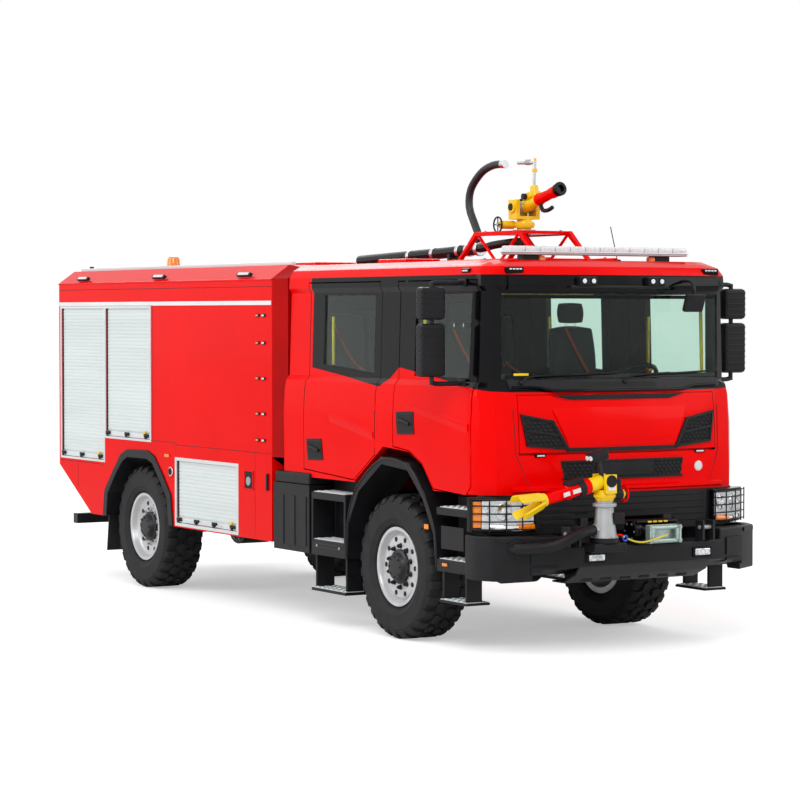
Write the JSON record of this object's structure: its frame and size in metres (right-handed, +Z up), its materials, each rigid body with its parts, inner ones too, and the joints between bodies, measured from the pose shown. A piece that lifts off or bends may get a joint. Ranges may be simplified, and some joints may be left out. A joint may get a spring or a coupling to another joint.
{
  "type": "airport fire truck",
  "caption": "All-wheel-drive airport fire truck with crew cab, shuttered equipment body, roof and bumper water monitors, winch, steering, doors and front lid",
  "frame": {"origin": "middle of the overall length and width, at ground level under the tyres", "axes": "+X forwards along the length, +Y to the left, +Z up"},
  "size_m": [8.57, 3.12, 3.9018],
  "materials": {
    "red_paint": "gloss red paint",
    "black_plastic": "textured black plastic",
    "dark_steel": "black chassis paint",
    "aluminium": "satin anodised slats",
    "silver": "silver paint",
    "rubber": "matt black rubber",
    "tyre": "matt black tyre rubber",
    "glass": "green tinted glass",
    "seat_cloth": "woven seat cloth",
    "yellow": "yellow paint",
    "lamp_glass": "clear lamp lens"
  },
  "bodies": {
    "truck": {"chassis_frame": "dark_steel", "front_axle": "dark_steel", "rear_axle": "dark_steel", "powertrain": "dark_steel", "winch": "dark_steel", "rear_underrun": "dark_steel", "cab_shell": "red_paint", "equipment_body": "red_paint", "roof_monitor_stand": "red_paint", "dashboard": "black_plastic", "front_fascia": "black_plastic", "front_bumper": "black_plastic", "roof_pipe": "black_plastic", "windscreen": "glass", "driver_seat": "seat_cloth", "passenger_seat": "seat_cloth", "crew_bench": "seat_cloth", "bumper_monitor_pipe": "silver", "roof_hose": "rubber", "light_bar": "lamp_glass", "tail_shutter": "aluminium", "right_headlamp": "lamp_glass", "right_step_box": "black_plastic", "right_side_tank": "black_plastic", "right_front_fender": "black_plastic", "right_mud_flap": "rubber", "right_rear_shutter": "aluminium", "right_middle_shutter": "aluminium", "right_lower_shutter": "aluminium", "left_headlamp": "lamp_glass", "left_step_box": "black_plastic", "left_side_tank": "black_plastic", "left_front_fender": "black_plastic", "left_mud_flap": "rubber", "left_rear_shutter": "aluminium", "left_middle_shutter": "aluminium", "left_lower_shutter": "aluminium"},
    "right_steering_knuckle": {"right_knuckle": "dark_steel"},
    "left_steering_knuckle": {"left_knuckle": "dark_steel"},
    "front_right_wheel": {"front_right_rim": "silver", "front_right_tyre": "tyre"},
    "front_left_wheel": {"front_left_rim": "silver", "front_left_tyre": "tyre"},
    "rear_right_wheel": {"rear_right_rim": "silver", "rear_right_tyre": "tyre"},
    "rear_left_wheel": {"rear_left_rim": "silver", "rear_left_tyre": "tyre"},
    "right_front_door": {"right_front_door": "red_paint", "right_mirror": "black_plastic"},
    "right_rear_door": {"right_rear_door": "red_paint"},
    "left_front_door": {"left_front_door": "red_paint", "left_mirror": "black_plastic"},
    "left_rear_door": {"left_rear_door": "red_paint"},
    "front_lid": {"front_lid": "red_paint"},
    "bumper_monitor_turret": {"bumper_monitor_turret": "yellow"},
    "bumper_monitor_barrel": {"bumper_monitor_barrel": "red_paint"},
    "roof_monitor_turret": {"roof_monitor_turret": "yellow"},
    "roof_monitor_barrel": {"roof_monitor_barrel": "red_paint"}
  },
  "joints": [
    {"name": "right_steer", "type": "hinge", "parent": "truck", "child": "right_steering_knuckle", "pos_m": [2.285, -0.93, 0.585], "axis": [0, 0, 1], "range_deg": [-32, 32]},
    {"name": "left_steer", "type": "hinge", "parent": "truck", "child": "left_steering_knuckle", "pos_m": [2.285, 0.93, 0.585], "axis": [0, 0, 1], "range_deg": [-32, 32]},
    {"name": "front_right_wheel_spin", "type": "hinge", "parent": "right_steering_knuckle", "child": "front_right_wheel", "pos_m": [2.285, -1.09, 0.585], "axis": [0, 1, 0], "continuous": true},
    {"name": "front_left_wheel_spin", "type": "hinge", "parent": "left_steering_knuckle", "child": "front_left_wheel", "pos_m": [2.285, 1.09, 0.585], "axis": [0, 1, 0], "continuous": true},
    {"name": "rear_right_wheel_spin", "type": "hinge", "parent": "truck", "child": "rear_right_wheel", "pos_m": [-2.465, -1.09, 0.585], "axis": [0, 1, 0], "continuous": true},
    {"name": "rear_left_wheel_spin", "type": "hinge", "parent": "truck", "child": "rear_left_wheel", "pos_m": [-2.465, 1.09, 0.585], "axis": [0, 1, 0], "continuous": true},
    {"name": "right_front_door_hinge", "type": "hinge", "parent": "truck", "child": "right_front_door", "pos_m": [3.4892, -1.213, 1.6], "axis": [0, 0, 1], "range_deg": [0, 75]},
    {"name": "right_rear_door_hinge", "type": "hinge", "parent": "truck", "child": "right_rear_door", "pos_m": [2.0392, -1.2195, 1.6], "axis": [0, 0, 1], "range_deg": [0, 75]},
    {"name": "left_front_door_hinge", "type": "hinge", "parent": "truck", "child": "left_front_door", "pos_m": [3.4892, 1.213, 1.6], "axis": [0, 0, -1], "range_deg": [0, 75]},
    {"name": "left_rear_door_hinge", "type": "hinge", "parent": "truck", "child": "left_rear_door", "pos_m": [2.0392, 1.2195, 1.6], "axis": [0, 0, -1], "range_deg": [0, 75]},
    {"name": "front_lid_hinge", "type": "hinge", "parent": "truck", "child": "front_lid", "pos_m": [3.755, 0, 2], "axis": [0, -1, 0], "range_deg": [0, 45]},
    {"name": "bumper_monitor_turn", "type": "hinge", "parent": "truck", "child": "bumper_monitor_turret", "pos_m": [4.185, -0.45, 1.21], "axis": [0, 0, 1], "range_deg": [0, 180]},
    {"name": "bumper_monitor_tilt", "type": "hinge", "parent": "bumper_monitor_turret", "child": "bumper_monitor_barrel", "pos_m": [4.185, -0.45, 1.36], "axis": [-1, 0, 0], "range_deg": [0, 75]},
    {"name": "roof_monitor_turn", "type": "hinge", "parent": "truck", "child": "roof_monitor_turret", "pos_m": [2.385, 0, 3.3], "axis": [0, 0, 1], "range_deg": [-135, 135]},
    {"name": "roof_monitor_tilt", "type": "hinge", "parent": "roof_monitor_turret", "child": "roof_monitor_barrel", "pos_m": [2.385, 0, 3.5], "axis": [0, -1, 0], "range_deg": [-20, 50]}
  ],
  "couplings": [
    {"joint": "left_steer", "follows": "right_steer", "ratio": 1}
  ]
}
